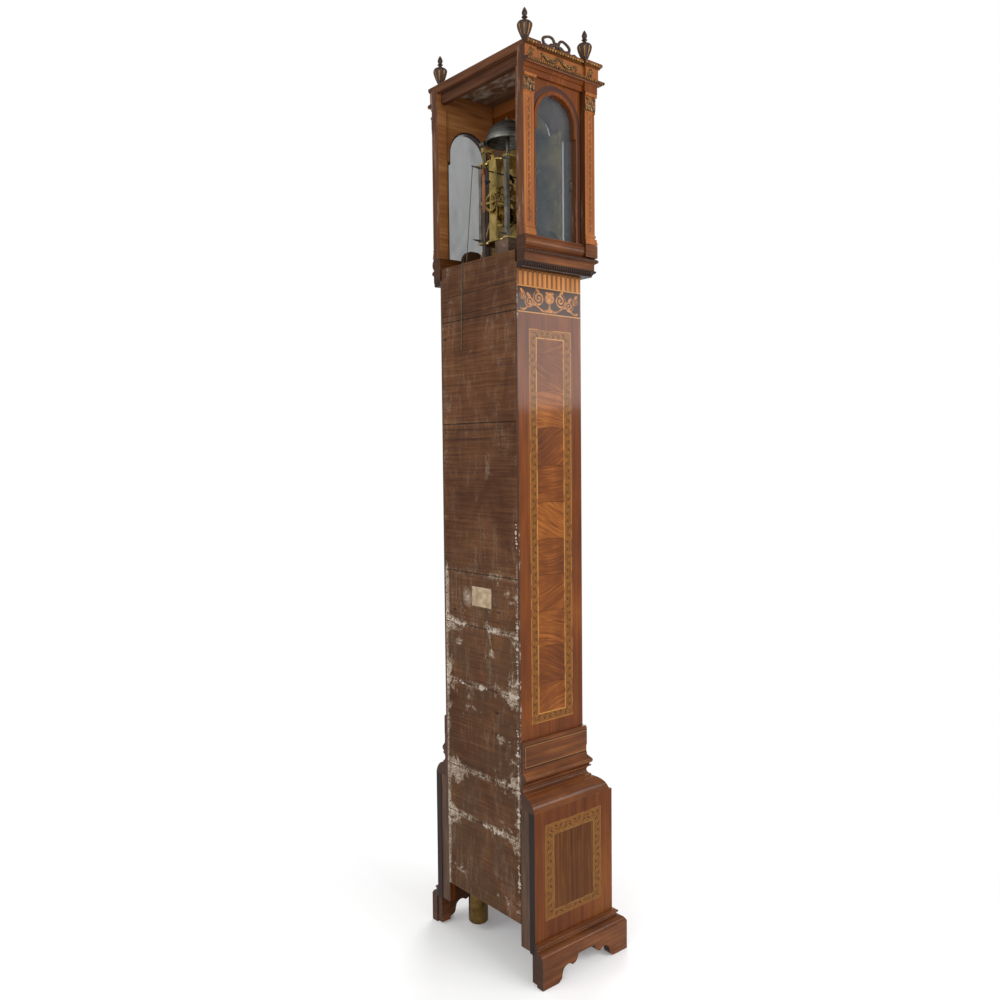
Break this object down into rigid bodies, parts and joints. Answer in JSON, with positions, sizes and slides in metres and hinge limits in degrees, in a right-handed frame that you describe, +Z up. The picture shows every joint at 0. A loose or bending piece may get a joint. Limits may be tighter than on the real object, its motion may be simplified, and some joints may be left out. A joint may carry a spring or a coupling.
{
  "type": "longcase clock",
  "caption": "Longcase clock with an arched glazed hood that slides off, a trunk with a door, bracket feet, and a weight-driven striking movement with a seconds pendulum.",
  "frame": {"origin": "centre of the bounding box without the cord, on the floor", "axes": "+Z up, -Y the dial side, +X to the right of one who reads the dial"},
  "size_m": [0.468, 0.3088, 2.404],
  "materials": {
    "case_wood": "polished veneer",
    "dark_wood": "dull, aged",
    "moulding_wood": "polished",
    "brass": "aged",
    "iron": "dark, worn",
    "steel": "blued",
    "bell_metal": "dark patina",
    "silvered": "silvered, satin",
    "glass": "clear",
    "cord": "twisted cord",
    "gut_line": "gut line",
    "gilt_wood": "carved and gilt",
    "copper_steel": "coppery lacquer"
  },
  "bodies": {
    "case": {"back_boards": "dark_wood", "trunk_side_left": "case_wood", "trunk_side_right": "case_wood", "trunk_front_frame": "case_wood", "waist_moulding": "moulding_wood", "base_panels": "case_wood", "base_moulding": "moulding_wood", "bracket_feet": "moulding_wood", "throat_moulding": "moulding_wood", "seat_board": "dark_wood", "movement_plates": "brass", "corner_posts": "iron", "movement_straps": "brass", "bell": "bell_metal", "bell_stand": "iron", "pendulum_cock": "brass", "dial_plate": "brass", "chapter_ring": "silvered", "line_guides": "brass", "drive_lines": "gut_line", "repeat_cord": "cord", "trunk_hinge_plates": "brass", "strike_falls": "gut_line", "going_falls": "gut_line"},
    "hood": {"hood_base_frame": "case_wood", "hood_sides": "case_wood", "hood_side_glass": "glass", "hood_pilasters": "case_wood", "hood_entablature": "case_wood", "hood_cornice": "moulding_wood", "hood_roof": "dark_wood", "finials": "gilt_wood", "crests": "gilt_wood", "dial_mask": "dark_wood"},
    "hood_door": {"hood_door_frame": "case_wood", "hood_door_glass": "glass"},
    "hood_door_catch": {"hood_catch": "brass"},
    "trunk_door": {"trunk_door": "case_wood", "trunk_door_fittings": "brass"},
    "lock_bolt": {"trunk_lock_bolt": "steel"},
    "going_great": {"going_great_wheel": "brass"},
    "going_barrel": {"going_drum": "brass"},
    "second": {"second_wheel": "brass"},
    "escape": {"escape_wheel": "brass"},
    "anchor": {"anchor_and_crutch": "steel"},
    "minute": {"minute_hand": "steel"},
    "hour": {"hour_hand": "steel"},
    "strike_great": {"strike_great_wheel": "brass"},
    "strike_barrel": {"strike_drum": "brass"},
    "count": {"count_wheel": "brass"},
    "hoop": {"hoop_wheel": "brass"},
    "warning": {"warning_wheel": "brass"},
    "fly": {"fly": "brass"},
    "hammer": {"hammer": "iron"},
    "pendulum": {"pendulum_rod": "copper_steel", "pendulum_bob": "brass"},
    "strike_weight": {"strike_weight": "brass"},
    "going_weight": {"going_weight": "brass"},
    "strike_pulley": {"strike_pulley": "brass"},
    "going_pulley": {"going_pulley": "brass"}
  },
  "joints": [
    {"name": "hood_slide", "type": "slide", "parent": "case", "child": "hood", "axis": [0, -1, 0], "range_m": [0, 0.3]},
    {"name": "hood_door_hinge", "type": "hinge", "parent": "hood", "child": "hood_door", "pos_m": [0.189, -0.053, 1.8635], "axis": [0, 0, 1], "range_deg": [0, 105]},
    {"name": "hood_catch_turn", "type": "hinge", "parent": "hood_door", "child": "hood_door_catch", "pos_m": [-0.15725, -0.071, 2.012], "axis": [0, -1, 0], "range_deg": [0, 90]},
    {"name": "trunk_door_hinge", "type": "hinge", "parent": "case", "child": "trunk_door", "pos_m": [0.111, -0.073, 0.85], "axis": [0, 0, 1], "range_deg": [0, 105]},
    {"name": "lock_bolt_slide", "type": "slide", "parent": "trunk_door", "child": "lock_bolt", "axis": [-1, 0, 0], "range_m": [0, 0.009]},
    {"name": "second_spin", "type": "hinge", "parent": "case", "child": "second", "pos_m": [0, 0.033, 1.997], "axis": [0, 1, 0], "continuous": true},
    {"name": "going_great_spin", "type": "hinge", "parent": "case", "child": "going_great", "pos_m": [0, 0.033, 1.958], "axis": [0, 1, 0], "continuous": true},
    {"name": "escape_spin", "type": "hinge", "parent": "case", "child": "escape", "pos_m": [0, 0.033, 2.0222], "axis": [0, 1, 0], "continuous": true},
    {"name": "minute_spin", "type": "hinge", "parent": "case", "child": "minute", "pos_m": [0, -0.007, 2.012], "axis": [0, 1, 0], "continuous": true},
    {"name": "hour_spin", "type": "hinge", "parent": "case", "child": "hour", "pos_m": [0, -0.007, 2.012], "axis": [0, 1, 0], "continuous": true},
    {"name": "warning_spin", "type": "hinge", "parent": "case", "child": "warning", "pos_m": [0, 0.073, 2.0108], "axis": [0, 1, 0], "continuous": true},
    {"name": "hoop_spin", "type": "hinge", "parent": "case", "child": "hoop", "pos_m": [0, 0.073, 1.991], "axis": [0, 1, 0], "continuous": true},
    {"name": "strike_great_spin", "type": "hinge", "parent": "case", "child": "strike_great", "pos_m": [0, 0.073, 1.958], "axis": [0, 1, 0], "continuous": true},
    {"name": "count_spin", "type": "hinge", "parent": "case", "child": "count", "pos_m": [0, 0.101, 1.984], "axis": [0, 1, 0], "continuous": true},
    {"name": "fly_spin", "type": "hinge", "parent": "case", "child": "fly", "pos_m": [0, 0.073, 2.027], "axis": [0, 1, 0], "continuous": true},
    {"name": "hammer_lift", "type": "hinge", "parent": "case", "child": "hammer", "pos_m": [0.038, 0.075, 1.99], "axis": [0, 1, 0], "range_deg": [0, 8], "stiffness_Nm_per_rad": 0.3, "springref_deg": -5.73},
    {"name": "pendulum_swing", "type": "hinge", "parent": "case", "child": "pendulum", "pos_m": [0, 0.126, 2.0622], "axis": [0, 1, 0], "range_deg": [-2.5, 2.5]},
    {"name": "anchor_rock", "type": "hinge", "parent": "case", "child": "anchor", "pos_m": [0, 0.073, 2.0622], "axis": [0, 1, 0], "range_deg": [-2.5, 2.5]},
    {"name": "strike_weight_travel", "type": "slide", "parent": "case", "child": "strike_weight", "axis": [0, 0, 1], "range_m": [0, 1.2], "deforming": ["strike_falls"]},
    {"name": "going_weight_travel", "type": "slide", "parent": "case", "child": "going_weight", "axis": [0, 0, 1], "range_m": [0, 1.2], "deforming": ["going_falls"]},
    {"name": "strike_barrel_spin", "type": "hinge", "parent": "case", "child": "strike_barrel", "pos_m": [0, 0.083, 1.958], "axis": [0, 1, 0], "continuous": true},
    {"name": "going_barrel_spin", "type": "hinge", "parent": "case", "child": "going_barrel", "pos_m": [0, 0.035, 1.958], "axis": [0, 1, 0], "continuous": true},
    {"name": "strike_pulley_spin", "type": "hinge", "parent": "strike_weight", "child": "strike_pulley", "pos_m": [0.1105, 0.083, 0.216], "axis": [0, 1, 0], "continuous": true},
    {"name": "going_pulley_spin", "type": "hinge", "parent": "going_weight", "child": "going_pulley", "pos_m": [-0.1105, 0.035, 0.216], "axis": [0, 1, 0], "continuous": true}
  ],
  "couplings": [
    {"joint": "going_great_spin", "follows": "second_spin", "ratio": -0.083333},
    {"joint": "minute_spin", "follows": "second_spin", "ratio": 0.083333},
    {"joint": "hour_spin", "follows": "second_spin", "ratio": 0.0069444},
    {"joint": "escape_spin", "follows": "second_spin", "ratio": -5},
    {"joint": "hoop_spin", "follows": "warning_spin", "ratio": -0.1},
    {"joint": "strike_great_spin", "follows": "warning_spin", "ratio": 0.01},
    {"joint": "count_spin", "follows": "warning_spin", "ratio": -0.0011111},
    {"joint": "fly_spin", "follows": "warning_spin", "ratio": -8},
    {"joint": "anchor_rock", "follows": "pendulum_swing", "ratio": 1},
    {"joint": "strike_barrel_spin", "follows": "strike_weight_travel", "rad_per_m": -101.01},
    {"joint": "strike_pulley_spin", "follows": "strike_weight_travel", "rad_per_m": 45.455},
    {"joint": "going_barrel_spin", "follows": "going_weight_travel", "rad_per_m": 101.01},
    {"joint": "going_pulley_spin", "follows": "going_weight_travel", "rad_per_m": -45.455}
  ]
}
